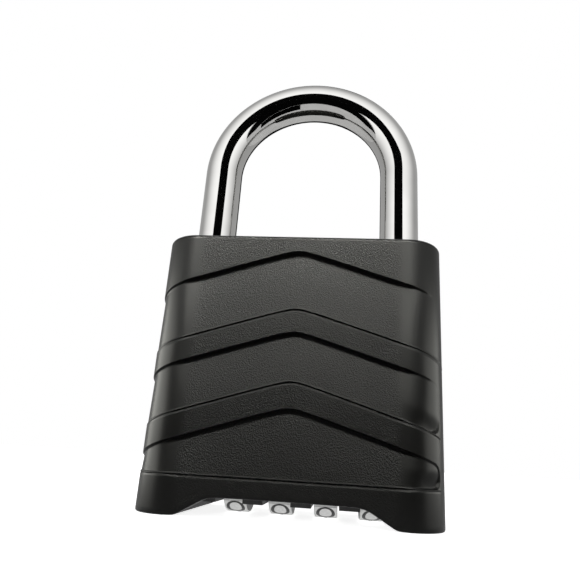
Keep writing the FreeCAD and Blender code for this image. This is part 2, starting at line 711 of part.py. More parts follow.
def shell_screws():
    seat = CAVITY_HALF_DEPTH + SHELL_SEAT
    tip = -CAVITY_HALF_DEPTH + SHELL_BOSS_BOTTOM + SHELL_SCREW_TIP_GAP
    slot_depth = (seat + CROSS_FLOOR, HALF_DEPTH)
    screws = []
    for x, z in SHELL_SCREWS:
        head = rod_y(SHELL_SCREW_HEAD, seat, seat + SHELL_SCREW_HEAD_HEIGHT, x, z)
        long_x, long_z = [(middle - CROSS_LENGTH / 2, middle + CROSS_LENGTH / 2) for middle in (x, z)]
        short_x, short_z = [(middle - CROSS_WIDTH / 2, middle + CROSS_WIDTH / 2) for middle in (x, z)]
        cross = [box(long_x, slot_depth, short_z), box(short_x, slot_depth, long_z)]
        screws.append(head.cut(cross).fuse(rod_y(SHELL_SCREW_RADIUS, tip, seat, x, z)))
    return Part.makeCompound(screws)


def core_screws():
    screws = []
    for x, y in CORE_SCREWS:
        head_top = CORE_BOTTOM + CORE_SCREW_HEAD_HEIGHT
        head = rod_z(CORE_SCREW_HEAD, CORE_BOTTOM + CORE_SCREW_SINK, head_top, x, y)
        tip = CARRIAGE_TOP + CORE_SCREW_REACH - CORE_SCREW_TIP_GAP
        shank = rod_z(CORE_SCREW_RADIUS, head_top, tip, x, y)
        screws.append(head.fuse(shank))
    return Part.makeCompound(screws)


def plate_screw_at(x, y):
    head_depth = PLATE_SCREW_HEAD - PLATE_SCREW_RADIUS
    head = Part.makeCone(
        PLATE_SCREW_HEAD, PLATE_SCREW_RADIUS, head_depth, vector(x, y, PLATE_BOTTOM), Z_AXIS
    )
    return head.fuse(rod_z(PLATE_SCREW_RADIUS, PLATE_BOTTOM, PLATE_BOTTOM + PLATE_SCREW_LENGTH, x, y))


def plate_screws():
    return Part.makeCompound([plate_screw_at(x, y) for x, y in PLATE_SCREWS])


def leaf_screws():
    screws = []
    head_start = LEAF_Y + LEAF_THICKNESS
    for x in LEAF_SCREWS:
        head = rod_y(LEAF_SCREW_HEAD, head_start, head_start + LEAF_SCREW_HEAD_HEIGHT, x, LEAF_MIDDLE)
        shank = rod_y(PLATE_SCREW_RADIUS, LEAF_Y - LEAF_SCREW_LENGTH, head_start, x, LEAF_MIDDLE)
        screws.append(head.fuse(shank))
    return Part.makeCompound(screws)


# ---- all the nodes ----

def all_nodes():
    shell = whole_shell()
    nodes = {
        "front_shell": front_shell(shell),
        "rear_shell": rear_shell(shell),
        "upper_block": upper_block(),
        "dial_carriage": dial_carriage(),
        "dial_plate": dial_plate(),
        "shackle": shackle(),
        "heel_bush": leg_bush(-LEG_X),
        "toe_bush": leg_bush(LEG_X),
        "retaining_pin": retaining_pin(),
        "spindle": spindle(),
        "cam_follower": cam_follower(),
        "spindle_bush": spindle_bush(),
        "spindle_clip": spindle_clip(),
        "spindle_spring": spindle_spring(),
        "spring_cap": spring_cap(),
        "detent_leaf": detent_leaf(),
        "shell_screws": shell_screws(),
        "core_screws": core_screws(),
        "plate_screws": plate_screws(),
        "leaf_screws": leaf_screws(),
    }
    for number, x in enumerate(DIAL_CENTRES, 1):
        nodes[f"dial_{number}"] = dial(x)
        nodes[f"hub_{number}"] = hub(x)
    return nodes


os.makedirs("parts", exist_ok=True)
for name, shape in all_nodes().items():
    shape.exportStep(f"parts/{name}.step")
    print(name, "solids", len(shape.Solids), "valid", shape.isValid(), "volume", round(shape.Volume, 2))
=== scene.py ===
import json
import math

import bmesh
import bpy
import numpy as np
from mathutils import Matrix, Vector


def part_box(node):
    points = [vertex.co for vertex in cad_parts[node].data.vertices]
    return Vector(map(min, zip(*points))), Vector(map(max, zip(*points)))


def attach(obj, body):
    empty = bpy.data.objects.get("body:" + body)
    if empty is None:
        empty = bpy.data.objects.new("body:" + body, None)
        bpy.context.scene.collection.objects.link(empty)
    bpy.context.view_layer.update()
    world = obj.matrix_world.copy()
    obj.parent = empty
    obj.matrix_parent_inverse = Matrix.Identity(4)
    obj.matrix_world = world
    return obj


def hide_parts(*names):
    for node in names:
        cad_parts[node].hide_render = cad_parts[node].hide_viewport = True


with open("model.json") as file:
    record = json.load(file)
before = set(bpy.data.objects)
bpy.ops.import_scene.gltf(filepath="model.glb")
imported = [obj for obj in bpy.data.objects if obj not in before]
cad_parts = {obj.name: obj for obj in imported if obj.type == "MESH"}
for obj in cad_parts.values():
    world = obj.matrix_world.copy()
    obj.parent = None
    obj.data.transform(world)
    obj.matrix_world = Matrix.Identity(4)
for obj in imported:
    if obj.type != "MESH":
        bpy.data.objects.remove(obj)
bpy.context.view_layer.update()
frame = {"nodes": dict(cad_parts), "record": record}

# Shapes are worked out in millimetres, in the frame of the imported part, and written to meshes in metres.
MM = 0.001

# Faces that meet at less than this many degrees are shaded as one smooth surface.
SMOOTH_ANGLE = 32.0


def box_mm(node):
    low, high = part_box(node)
    return np.array(low) / MM, np.array(high) / MM


# ---- sizes read from the frame ----
front_low, front_high = box_mm("front_shell")
shackle_low, shackle_high = box_mm("shackle")
toe_low, toe_high = box_mm("toe_bush")
screws_low, screws_high = box_mm("shell_screws")
HALF_WIDTH = front_high[0]
HALF_DEPTH = -front_low[1]
HEIGHT = front_high[2]
LEG_X = (toe_low[0] + toe_high[0]) / 2
BAR_RADIUS = (shackle_high[0] - shackle_low[0]) / 2 - LEG_X
ARCH_Z = shackle_high[2] - LEG_X - BAR_RADIUS
DIALS = sorted(node for node in frame["nodes"] if node.startswith("dial_") and node[5:].isdigit())

# How far a cutting tool runs past the wall it cuts.
PAST = 1.0

# ---- body shells ----
CORNER_RADIUS = 6.7
TOP_EDGE = 0.8
BOTTOM_EDGE = 0.4
FRONT_WALL = 2.4
SIDE_WALL = 2.0
TOP_WALL = 2.2
FOOT_FLOOR = 4.2
FOOT_WIDTH = 8.5
FOOT_INNER_STEP = 0.5
LIP_HEIGHT = 3.2
FOOT_SLOPE_RUN = 5.1
LIP_SOFTNESS = 0.7
LIP_FLAT = 0.02
LEG_HOLE_CLEARANCE = 0.2
LEG_HOLE_CHAMFER = 0.3
SEAM_WIDTH = 0.3
SEAM_DEPTH = 0.14
FLAT = HALF_WIDTH - CORNER_RADIUS
CORNER_END = FLAT + CORNER_RADIUS * math.pi / 2
HALF_GIRTH = CORNER_END + HALF_DEPTH - CORNER_RADIUS

# ---- chevron panels: height of the upper step and of the lower groove at the middle of the face ----
RELIEF_TOP = HEIGHT - 3.1
RELIEF_HEIGHT = RELIEF_TOP - 6.4
PANEL_SHARES = ((0.0, 0.28), (0.38, 0.602), (0.71, 1.0))
SLOPE = 0.32
APEX_SOFTNESS = 1.6
STEP_DEPTH = 1.0
STEP_WALL = 0.16
END_WALL = 0.4
GROOVE_DEPTH = 0.24
GROOVE_HALF_WIDTH = 0.1
# Upward-facing chamfers along the groove's two lips: places up from the groove, and how far they are sunk.
LIP_PLACES = (-0.42, -0.14, 0.14, 0.4)
LIP_DEPTHS = (0.0, 0.09, -0.06, 0.0)
# What is left of the chamfers round the corners.
LIP_END_SHARE = 0.6
# How far the whole face lies back, so that the raised lip stays inside the CAD's box.
FACE_SINK = 0.08
# The relief runs out between these two arc lengths from the middle of the face.
FADE_START = 17.0
FADE_END = 25.0
# How far the top of a panel's end wall fades out above its groove.
CRESCENT_HEIGHT = 3.4
# Rounding of the two upper corners of a panel.
UPPER_END_RADIUS = 1.6


# Heights of mesh rows on each side of a groove and of a step, closest where the surface turns most.
GROOVE_ROWS = (
    -0.6, -0.5, -0.46, -0.43, -0.36, -0.31, -0.27, -0.23, -0.19, -0.16, -0.13, -0.1, -0.07, -0.035,
    0.0, 0.035, 0.07, 0.1, 0.13, 0.16, 0.21, 0.25, 0.3, 0.36, 0.41, 0.45, 0.6,
)
STEP_ROWS = (-0.42, -0.32, -0.24, -0.18, -0.14, -0.1, -0.06, -0.02, 0.02, 0.07, 0.15, 0.3, 0.5)
# Spacing of the rows elsewhere, and inside a panel.
ROW_SPACING = 0.6
PANEL_ROW_SPACING = 0.3
# How far the last row lies in from the rounded top edge.
TOP_ROW_INSET = 0.25


class Panel:
    """One pocket of the relief.

    Ends are arc lengths from the middle of the face, on its left and on its right.
    """

    def __init__(self, shares, lower_slope, ends, end_steps, dips, end_radius):
        self.step = RELIEF_TOP - shares[0] * RELIEF_HEIGHT
        self.groove = RELIEF_TOP - shares[1] * RELIEF_HEIGHT
        self.lower_slope = lower_slope
        self.ends = ends
        self.end_steps = end_steps
        self.dips = dips
        self.end_radius = end_radius


PANELS = [
    Panel(PANEL_SHARES[0], SLOPE, (32.5, 31.0), (0.15, 0.0), (0.15, 0.0), 5.0),
    Panel(PANEL_SHARES[1], SLOPE, (32.5, 26.4), (0.2, 0.02), (0.15, 0.55), 2.8),
    Panel(PANEL_SHARES[2], 0.0, (32.5, 26.1), (0.2, 0.2), (0.15, 0.55), 1.6),
]


def ramp(value):
    share = np.clip(value, 0.0, 1.0)
    return share * share * (3 - 2 * share)


def soft_abs(value, softness):
    return np.sqrt(value * value + softness * softness) - softness


def rounded_inside(first, second, radius):
    """Distance inside a corner between two edges, rounded to radius."""
    away = radius - np.hypot(np.maximum(radius - first, 0), np.maximum(radius - second, 0))
    return np.where((first < radius) & (second < radius), away, np.minimum(first, second))


def by_side(u, pair):
    return np.where(u < 0, pair[0], pair[1])


def outline(u, inset):
    """Plan outline at arc length u from the middle of the front, moved inwards by inset."""
    run = np.abs(u)
    turn = np.clip((run - FLAT) / CORNER_RADIUS, 0, math.pi / 2)
    beyond = np.maximum(run - CORNER_END, 0)
    x = np.minimum(run, FLAT) + (CORNER_RADIUS - inset) * np.sin(turn)
    y = CORNER_RADIUS - HALF_DEPTH - (CORNER_RADIUS - inset) * np.cos(turn) + beyond
    return np.sign(u) * x, y


def relief_depth(u, z):
    """How far the face is sunk at arc length u and height z."""
    along = soft_abs(u, APEX_SOFTNESS)
    outward = ramp((np.abs(u) - FADE_START) / (FADE_END - FADE_START))
    depth = np.zeros_like(z)
    for panel in PANELS:
        cosine = 1 / math.hypot(1, SLOPE)
        lower_cosine = 1 / math.hypot(1, panel.lower_slope)
        below_step = (panel.step - SLOPE * along - z) * cosine
        above_groove = (z - panel.groove + panel.lower_slope * along) * lower_cosine
        from_end = by_side(u, panel.ends) - np.abs(u)
        upper = rounded_inside(below_step, from_end, UPPER_END_RADIUS)
        lower = rounded_inside(above_groove, from_end, panel.end_radius)
        inside = np.minimum(upper, lower)
        share = np.clip(below_step / np.maximum(below_step + above_groove, 0.01), 0, 1)
        floor = (STEP_DEPTH + (by_side(u, panel.end_steps) - STEP_DEPTH) * outward) * (1 - share)
        low = np.where(u < 0, 1.0, ramp(1 - above_groove / CRESCENT_HEIGHT))
        floor = floor + by_side(u, panel.dips) * outward * low
        wall = STEP_WALL + (END_WALL - STEP_WALL) * outward
        depth += floor * ramp(inside / wall)
        fade = (1 - outward) * (above_groove < below_step)
        depth += fade * GROOVE_DEPTH * np.exp(-(above_groove / GROOVE_HALF_WIDTH) ** 2)
        lip = (1 - (1 - LIP_END_SHARE) * outward) * (above_groove < below_step) * (from_end > 0)
        depth += lip * np.interp(above_groove, LIP_PLACES, LIP_DEPTHS)
    return depth


def lip_height(x):
    """Height of the front's lower edge: on the ground under the feet, raised between them."""
    raw = (HALF_WIDTH - FOOT_WIDTH - np.abs(x)) * LIP_HEIGHT / FOOT_SLOPE_RUN
    capped = (raw + LIP_HEIGHT - np.sqrt((raw - LIP_HEIGHT) ** 2 + LIP_SOFTNESS ** 2)) / 2
    lifted = (capped + np.sqrt(capped ** 2 + (LIP_SOFTNESS / 2) ** 2)) / 2
    return np.where(lifted < LIP_FLAT, 0.0, np.minimum(lifted, LIP_HEIGHT))


def steps(*stretches):
    """Ascending values from (start, end, spacing) stretches, each without its own end."""
    values = []
    for start, end, spacing in stretches:
        values += list(np.linspace(start, end, max(2, round((end - start) / spacing)), endpoint=False))
    return values


def shell_columns():
    right = steps(
        (0.0, 3.0, 0.3),
        (3.0, 11.4, 0.7),
        (11.4, 19.6, 0.3),
        (19.6, 25.0, 0.3),
        (25.0, 27.0, 0.1),
        (27.0, 30.4, 0.2),
        (30.4, 32.8, 0.12),
        (32.8, HALF_GIRTH - SEAM_WIDTH, 0.8),
        (HALF_GIRTH - SEAM_WIDTH, HALF_GIRTH, 0.1),
    ) + [HALF_GIRTH]
    return np.array([-value for value in reversed(right[1:])] + right)


def shell_rows(u):
    """Heights and edge insets of the rows of each column, from the ground up.

    The rows are closest along the relief's lines.
    """
    x, _ = outline(u, 0.0)
    along = soft_abs(np.abs(u), APEX_SOFTNESS)
    low = np.where(np.abs(u) < FLAT, lip_height(x), 0.0)
    heights, insets = [], []

    def add(height, inset=0.0):
        heights.append(height + 0 * u)
        insets.append(inset + 0 * u)

    def band(start, end, spacing):
        count = max(2, round(float(np.max(end - start)) / spacing))
        for share in np.arange(1, count) / count:
            add(start + (end - start) * share)

    for angle in np.linspace(0, math.pi / 2, 5):
        add(low + BOTTOM_EDGE * (1 - math.cos(angle)), BOTTOM_EDGE * (1 - math.sin(angle)))
    start = low + BOTTOM_EDGE
    for panel in reversed(PANELS):
        groove = panel.groove - panel.lower_slope * along
        step = panel.step - SLOPE * along
        band(start, groove + GROOVE_ROWS[0], ROW_SPACING)
        for offset in GROOVE_ROWS:
            add(groove + offset)
        band(groove + GROOVE_ROWS[-1], step + STEP_ROWS[0], PANEL_ROW_SPACING)
        for offset in STEP_ROWS:
            add(step + offset)
        start = step + STEP_ROWS[-1]
    band(start, HEIGHT - TOP_EDGE, ROW_SPACING)
    for angle in np.linspace(0, math.pi / 2, 7):
        add(HEIGHT - TOP_EDGE * (1 - math.sin(angle)), TOP_EDGE * (1 - math.cos(angle)))
    add(HEIGHT + 0 * u, TOP_EDGE + TOP_ROW_INSET)
    return np.array(heights), np.array(insets)


def mesh_object(name, vertices_mm, faces):
    mesh = bpy.data.meshes.new(name)
    mesh.from_pydata([tuple(float(c) * MM for c in v) for v in vertices_mm], [], faces)
    mesh.validate()
    build = bmesh.new()
    build.from_mesh(mesh)
    bmesh.ops.recalc_face_normals(build, faces=build.faces)
    build.to_mesh(mesh)
    build.free()
    piece = bpy.data.objects.new(name, mesh)
    bpy.context.scene.collection.objects.link(piece)
    finish_shading(piece)
    return piece


def finish_shading(piece):
    piece.data.shade_smooth()
    piece.data.set_sharp_from_angle(angle=math.radians(SMOOTH_ANGLE))


def half_block(name):
    """Closed block with the relief on its outside, cut flat along the middle of the sides."""
    u = shell_columns()
    heights, insets = shell_rows(u)
    rows, columns = heights.shape
    across = np.tile(u, (rows, 1))
    seam = SEAM_DEPTH * ramp((np.abs(across) - HALF_GIRTH + SEAM_WIDTH) / SEAM_WIDTH)
    sunk = relief_depth(across, heights) + insets + seam + FACE_SINK
    x, y = outline(across, sunk)
    y[:, 0] = y[:, -1] = 0.0
    vertices = list(np.stack([x, y, heights], axis=-1).reshape(-1, 3))
    faces = []
    for row in range(rows - 1):
        for column in range(columns - 1):
            corner = row * columns + column
            faces.append((corner, corner + 1, corner + columns + 1, corner + columns))
    faces.append([(rows - 1) * columns + column for column in range(columns)])
    front = [c for c in range(columns) if abs(u[c]) < CORNER_END - 0.01]
    middle = {}
    for column in front:
        middle[column] = len(vertices)
        vertices.append(np.array([x[0, column], 0.0, heights[0, column]]))
    for column in front[:-1]:
        faces.append((column, middle[column], middle[column + 1], column + 1))
    faces.append([*range(front[0] + 1), middle[front[0]]])
    faces.append([*range(front[-1], columns), middle[front[-1]]])
    left_side = [row * columns for row in range(rows)]
    right_side = [row * columns + columns - 1 for row in range(rows)]
    faces.append(left_side[::-1] + [middle[c] for c in front] + right_side)
    return mesh_object(name, vertices, faces)


def prism(name, outline_points, start, end, axis="z"):
    """Closed prism: outline points (a, b) run along the axis from start to end."""
    count = len(outline_points)
    place = {"z": lambda a, b, t: (a, b, t), "y": lambda a, b, t: (a, t, b)}[axis]
    vertices = [place(a, b, t) for t in (start, end) for a, b in outline_points]
    faces = [tuple(range(count)), tuple(range(2 * count - 1, count - 1, -1))]
    faces += [(i, (i + 1) % count, count + (i + 1) % count, count + i) for i in range(count)]
    return mesh_object(name, vertices, faces)


def rectangle(a_low, a_high, b_low, b_high):
    return [(a_low, b_low), (a_high, b_low), (a_high, b_high), (a_low, b_high)]


def rounded_rectangle(half_a, half_b, radius, per_corner=10):
    points = []
    for index, (side_a, side_b) in enumerate(((1, 1), (-1, 1), (-1, -1), (1, -1))):
        for share in np.linspace(0, 1, per_corner):
            angle = (index + share) * math.pi / 2
            points.append((
                side_a * (half_a - radius) + radius * math.cos(angle),
                side_b * (half_b - radius) + radius * math.sin(angle),
            ))
    return points


def circle(centre_a, centre_b, radius, count=64):
    angles = [2 * math.pi * index / count for index in range(count)]
    return [(centre_a + radius * math.cos(a), centre_b + radius * math.sin(a)) for a in angles]


def swept_rings(name, rings):
    """Closed tube through rings of points, with flat ends."""
    count = len(rings[0])
    vertices = [point for ring in rings for point in ring]
    faces = [tuple(range(count)), tuple((len(rings) - 1) * count + i for i in range(count))]
    for ring in range(len(rings) - 1):
        for index in range(count):
            after = (index + 1) % count
            low, high = ring * count, (ring + 1) * count
            faces.append((low + index, low + after, high + after, high + index))
    return mesh_object(name, vertices, faces)


def turned(name, profile, x, count=96):
    """Closed solid turned about the vertical line at x, from (radius, z) points."""
    rings = [[(x + a, b, z) for a, b in circle(0, 0, radius, count)] for radius, z in profile]
    return swept_rings(name, rings)


def cut_away(piece, tools):
    """Cuts the tools out of the piece, one after the other."""
    for tool in tools:
        cut = piece.modifiers.new("cut", "BOOLEAN")
        cut.operation = "DIFFERENCE"
        cut.solver = "MANIFOLD"
        cut.object = tool
        evaluated = piece.evaluated_get(bpy.context.evaluated_depsgraph_get())
        result = bpy.data.meshes.new_from_object(evaluated)
        piece.modifiers.clear()
        old = piece.data
        piece.data = result
        bpy.data.meshes.remove(old)
        bpy.data.objects.remove(tool)
    finish_shading(piece)


def leg_hole(side):
    radius = BAR_RADIUS + LEG_HOLE_CLEARANCE
    profile = [
        (radius, HEIGHT - TOP_WALL - PAST),
        (radius, HEIGHT - LEG_HOLE_CHAMFER),
        (radius + LEG_HOLE_CHAMFER, HEIGHT),
        (radius + LEG_HOLE_CHAMFER + 0.5, HEIGHT + 0.5),
    ]
    return turned("leg_hole", profile, side * LEG_X)


def hollow_out(shell):
    inner_width, inner_depth = HALF_WIDTH - SIDE_WALL, HALF_DEPTH - FRONT_WALL
    mouth = HALF_WIDTH - FOOT_WIDTH - FOOT_INNER_STEP
    cavity = rounded_rectangle(inner_width, inner_depth, CORNER_RADIUS - FRONT_WALL)
    cut_away(shell, [
        prism("cavity", cavity, FOOT_FLOOR, HEIGHT - TOP_WALL),
        prism("mouth", rectangle(-mouth, mouth, -inner_depth, inner_depth), -PAST, FOOT_FLOOR + PAST),
        leg_hole(-1),
        leg_hole(1),
    ])


SCREW_HEAD_RADIUS = 2.0
SCREW_SEAT_CLEARANCE = 0.15
SCREW_SEAT_FLOOR = 0.7
SCREW_HOLE_RADIUS = 1.35
LOWER_SCREW_X = 9.0
UPPER_SCREW_X = 13.0


def screw_places():
    """(x, z) of the four screws that join the shells, read from the group's box."""
    upper_z = screws_high[2] - SCREW_HEAD_RADIUS
    lower_z = screws_low[2] + SCREW_HEAD_RADIUS
    pairs = ((LOWER_SCREW_X, lower_z), (UPPER_SCREW_X, upper_z))
    return [(side * x, z) for x, z in pairs for side in (-1, 1)]


def make_front_shell():
    shell = half_block("front_body_shell")
    hollow_out(shell)
    return shell


def make_rear_shell():
    shell = half_block("rear_body_shell")
    shell.data.transform(Matrix.Rotation(math.pi, 4, "Z"))
    hollow_out(shell)
    seat = HALF_DEPTH - FRONT_WALL + SCREW_SEAT_FLOOR
    tools = []
    for x, z in screw_places():
        head = circle(x, z, SCREW_HEAD_RADIUS + SCREW_SEAT_CLEARANCE)
        tools.append(prism("seat", head, seat, HALF_DEPTH + PAST, "y"))
        tools.append(prism("hole", circle(x, z, SCREW_HOLE_RADIUS), 0.0, seat + 0.1, "y"))
    cut_away(shell, tools)
    return shell


# ---- shackle ----
LEG_END_CHAMFER = 0.6
CAM_TOP_RADIUS = 1.689
CAM_TOP = 15.6
NECK_BOTTOM = 21.91
NECK_TOP = 33.21
NECK_RADIUS = 2.8
TOE_BOTTOM = 43.0


def make_shackle():
    """One bent bar: turned heel leg, half-circle arch, plain toe leg."""
    heel_bottom, arch = shackle_low[2], ARCH_Z
    cam_foot = heel_bottom + LEG_END_CHAMFER
    heel = [
        (BAR_RADIUS - LEG_END_CHAMFER, heel_bottom),
        (BAR_RADIUS, cam_foot),
        (CAM_TOP_RADIUS, CAM_TOP),
        (BAR_RADIUS, CAM_TOP + BAR_RADIUS - CAM_TOP_RADIUS),
        (BAR_RADIUS, NECK_BOTTOM - 0.01),
        (NECK_RADIUS, NECK_BOTTOM),
        (NECK_RADIUS, NECK_TOP),
        (BAR_RADIUS, NECK_TOP + 0.01),
    ]
    heel += [(BAR_RADIUS, z) for z in np.linspace(NECK_TOP + 0.5, arch, 30)]
    count = 128
    rings = [[(-LEG_X - a, b, z) for a, b in circle(0, 0, radius, count)] for radius, z in heel]
    for share in np.linspace(0, 1, 121)[1:]:
        angle = math.pi * share
        ring = []
        for a, b in circle(0, 0, BAR_RADIUS, count):
            reach = LEG_X + a
            ring.append((-reach * math.cos(angle), b, arch + reach * math.sin(angle)))
        rings.append(ring)
    toe = [(BAR_RADIUS, z) for z in np.linspace(arch, TOE_BOTTOM + LEG_END_CHAMFER, 24)[1:]]
    toe.append((BAR_RADIUS - LEG_END_CHAMFER, TOE_BOTTOM))
    rings += [[(LEG_X + a, b, z) for a, b in circle(0, 0, radius, count)] for radius, z in toe]
    return swept_rings("shackle_bar", rings)


# ---- numbers on the dials ----
DIGIT_ANGLE = 241.0
DIGITS = 10
DIGIT_WIDTH = 3.3
DIGIT_HEIGHT = 3.9
DIGIT_RISE = 0.03
DIGIT_SINK = 0.05
DIGIT_SLICES = 14
RIM_ROUND = 0.3


def flat_digit(number):
    """Mesh of one digit in its own plane."""
    text = bpy.data.curves.new(f"digit_{number}", "FONT")
    text.body = str(number)
    text.align_x = "CENTER"
    text.extrude = 0.5
    text.offset = -0.014
    text.resolution_u = 8
    holder = bpy.data.objects.new(f"digit_{number}", text)
    bpy.context.scene.collection.objects.link(holder)
    graph = bpy.context.evaluated_depsgraph_get()
    mesh = bpy.data.meshes.new_from_object(holder.evaluated_get(graph))
    bpy.data.objects.remove(holder)
    bpy.data.curves.remove(text)
    return mesh


def spread(mesh):
    points = np.array([v.co for v in mesh.vertices])
    return points.min(0), points.max(0)


def make_digits(dial):
    """The ten digits round one dial's rim, as thin inlays that follow the rim's curve."""
    low, high = box_mm(dial)
    centre_x = (low[0] + high[0]) / 2
    axis_z = (low[2] + high[2]) / 2
    radius = (high[2] - low[2]) / 2
    zero_low, zero_high = spread(flat_digit(0))
    scale_x = DIGIT_WIDTH / (zero_high[0] - zero_low[0])
    scale_y = DIGIT_HEIGHT / (zero_high[1] - zero_low[1])
    middle_y = (zero_low[1] + zero_high[1]) / 2
    build = bmesh.new()
    for number in range(DIGITS):
        flat = flat_digit(number)
        part = bmesh.new()
        part.from_mesh(flat)
        bmesh.ops.remove_doubles(part, verts=part.verts, dist=1e-5)
        digit_low, digit_high = spread(flat)
        for y in np.linspace(digit_low[1], digit_high[1], DIGIT_SLICES)[1:-1]:
            geometry = part.verts[:] + part.edges[:] + part.faces[:]
            bmesh.ops.bisect_plane(part, geom=geometry, plane_co=(0, y, 0), plane_no=(0, 1, 0))
        middle_x = (digit_low[0] + digit_high[0]) / 2
        turn = math.radians(DIGIT_ANGLE + number * 360.0 / DIGITS)
        for vertex in part.verts:
            across = (vertex.co.x - middle_x) * scale_x
            up = (vertex.co.y - middle_y) * scale_y
            reach = radius + (DIGIT_RISE if vertex.co.z > 0 else -DIGIT_SINK)
            edge = abs(across) - (high[0] - low[0]) / 2 + RIM_ROUND
            if edge > 0:
                reach -= RIM_ROUND - math.sqrt(max(RIM_ROUND ** 2 - edge ** 2, 0.0))
            angle = turn - up / radius
            vertex.co = Vector((
                (centre_x + across) * MM,
                reach * math.cos(angle) * MM,
                (axis_z + reach * math.sin(angle)) * MM,
            ))
        piece = bpy.data.meshes.new("digit")
        part.to_mesh(piece)
        part.free()
        build.from_mesh(piece)
    bmesh.ops.recalc_face_normals(build, faces=build.faces)
    mesh = bpy.data.meshes.new(f"{dial}_digits")
    build.to_mesh(mesh)
    build.free()
    piece = bpy.data.objects.new(f"{dial}_digits", mesh)
    bpy.context.scene.collection.objects.link(piece)
    finish_shading(piece)
    return piece


# ---- materials ----
class Shader:
    """A Principled material with helpers for its procedural nodes."""

    def __init__(self, name, **inputs):
        self.material = bpy.data.materials.new(name)
        self.material.use_nodes = True
        self.nodes = self.material.node_tree.nodes
        self.links = self.material.node_tree.links
        self.surface = self.nodes["Principled BSDF"]
        self.coordinates = self.nodes.new("ShaderNodeTexCoord").outputs["Object"]
        for key, value in inputs.items():
            self.surface.inputs[key.replace("_", " ")].default_value = value

    def add(self, kind, **settings):
        node = self.nodes.new(kind)
        for key, value in settings.items():
            setattr(node, key, value)
        return node

    def scaled(self, scale):
        mapping = self.add("ShaderNodeMapping")
        mapping.inputs["Scale"].default_value = scale
        self.links.new(self.coordinates, mapping.inputs["Vector"])
        return mapping.outputs["Vector"]

    def noise(self, size_mm, detail=2.0, roughness=0.5, stretch=(1, 1, 1)):
        node = self.add("ShaderNodeTexNoise")
        node.inputs["Scale"].default_value = 1.0
        node.inputs["Detail"].default_value = detail
        node.inputs["Roughness"].default_value = roughness
        scale = [1 / (size_mm * MM * s) for s in stretch]
        self.links.new(self.scaled(scale), node.inputs["Vector"])
        return node.outputs["Fac"]

    def cells(self, size_mm):
        node = self.add("ShaderNodeTexVoronoi", feature="SMOOTH_F1")
        node.inputs["Scale"].default_value = 1.0
        node.inputs["Smoothness"].default_value = 0.6
        self.links.new(self.scaled([1 / (size_mm * MM)] * 3), node.inputs["Vector"])
        return node.outputs["Distance"]

    def mapped(self, source, low, high, start=0.0, end=1.0):
        node = self.add("ShaderNodeMapRange")
        node.inputs["From Min"].default_value = start
        node.inputs["From Max"].default_value = end
        node.inputs["To Min"].default_value = low
        node.inputs["To Max"].default_value = high
        self.links.new(source, node.inputs["Value"])
        return node.outputs["Result"]

    def math(self, operation, first, second):
        node = self.add("ShaderNodeMath", operation=operation)
        for socket, value in zip(node.inputs, (first, second)):
            if isinstance(value, (int, float)):
                socket.default_value = value
            else:
                self.links.new(value, socket)
        return node.outputs["Value"]

    def axis(self, name):
        node = self.add("ShaderNodeSeparateXYZ")
        self.links.new(self.coordinates, node.inputs["Vector"])
        return node.outputs[name]

    def colours(self, source, dark, light, start=0.3, end=0.7):
        node = self.add("ShaderNodeValToRGB")
        first, second = node.color_ramp.elements
        first.position, second.position = start, end
        first.color, second.color = (*dark, 1), (*light, 1)
        self.links.new(source, node.inputs["Fac"])
        self.links.new(node.outputs["Color"], self.surface.inputs["Base Color"])

    def rough(self, source, low, high):
        self.links.new(self.mapped(source, low, high), self.surface.inputs["Roughness"])

    def bump(self, height, distance_mm, strength=1.0, strength_source=None):
        node = self.add("ShaderNodeBump")
        node.inputs["Distance"].default_value = distance_mm * MM
        node.inputs["Strength"].default_value = strength
        if strength_source is not None:
            self.links.new(strength_source, node.inputs["Strength"])
        self.links.new(height, node.inputs["Height"])
        self.links.new(node.outputs["Normal"], self.surface.inputs["Normal"])


def black_paint():
    """Satin black coating with a fine stipple on the flat faces that fades out before the rounded corners."""
    shader = Shader("black_paint", Specular_IOR_Level=0.15)
    stipple = shader.math("ADD", shader.cells(0.22), shader.mapped(shader.noise(0.13, 3.0), 0.0, 0.7))
    distance = shader.math("ABSOLUTE", shader.axis("X"), 0.0)
    flatness = shader.mapped(distance, 1.0, 0.0, (FLAT - 2.4) * MM, (FLAT - 0.6) * MM)
    shader.colours(shader.noise(0.3, 3.0), (0.0003, 0.0003, 0.0003), (0.0006, 0.0006, 0.0005))
    height = shader.axis("Z")
    satin = shader.mapped(shader.noise(5.0), 0.32, 0.36)
    rim = shader.mapped(height, 0.0, -0.12, (HEIGHT - TOP_EDGE) * MM, (HEIGHT - 0.6) * MM)
    shader.links.new(shader.math("ADD", satin, rim), shader.surface.inputs["Roughness"])
    shader.bump(stipple, 0.055, strength_source=flatness)
    return shader.material


def black_plate():
    shader = Shader("black_plate")
    shader.colours(shader.noise(0.5, 3.0), (0.008, 0.008, 0.008), (0.014, 0.014, 0.014))
    shader.rough(shader.noise(1.5), 0.38, 0.5)
    shader.bump(shader.noise(0.25), 0.01, 0.5)
    return shader.material


def chrome():
    """Polished plating with a faint haze and hairlines along the bar."""
    shader = Shader("chrome_bar", Metallic=1.0)
    shader.colours(shader.noise(6.0), (0.62, 0.615, 0.6), (0.68, 0.675, 0.66))
    shader.rough(shader.noise(0.5, 4.0, 0.6, (1, 1, 12)), 0.01, 0.035)
    shader.bump(shader.noise(0.15, 2.0, 0.5, (1, 1, 30)), 0.0006, 0.35)
    return shader.material


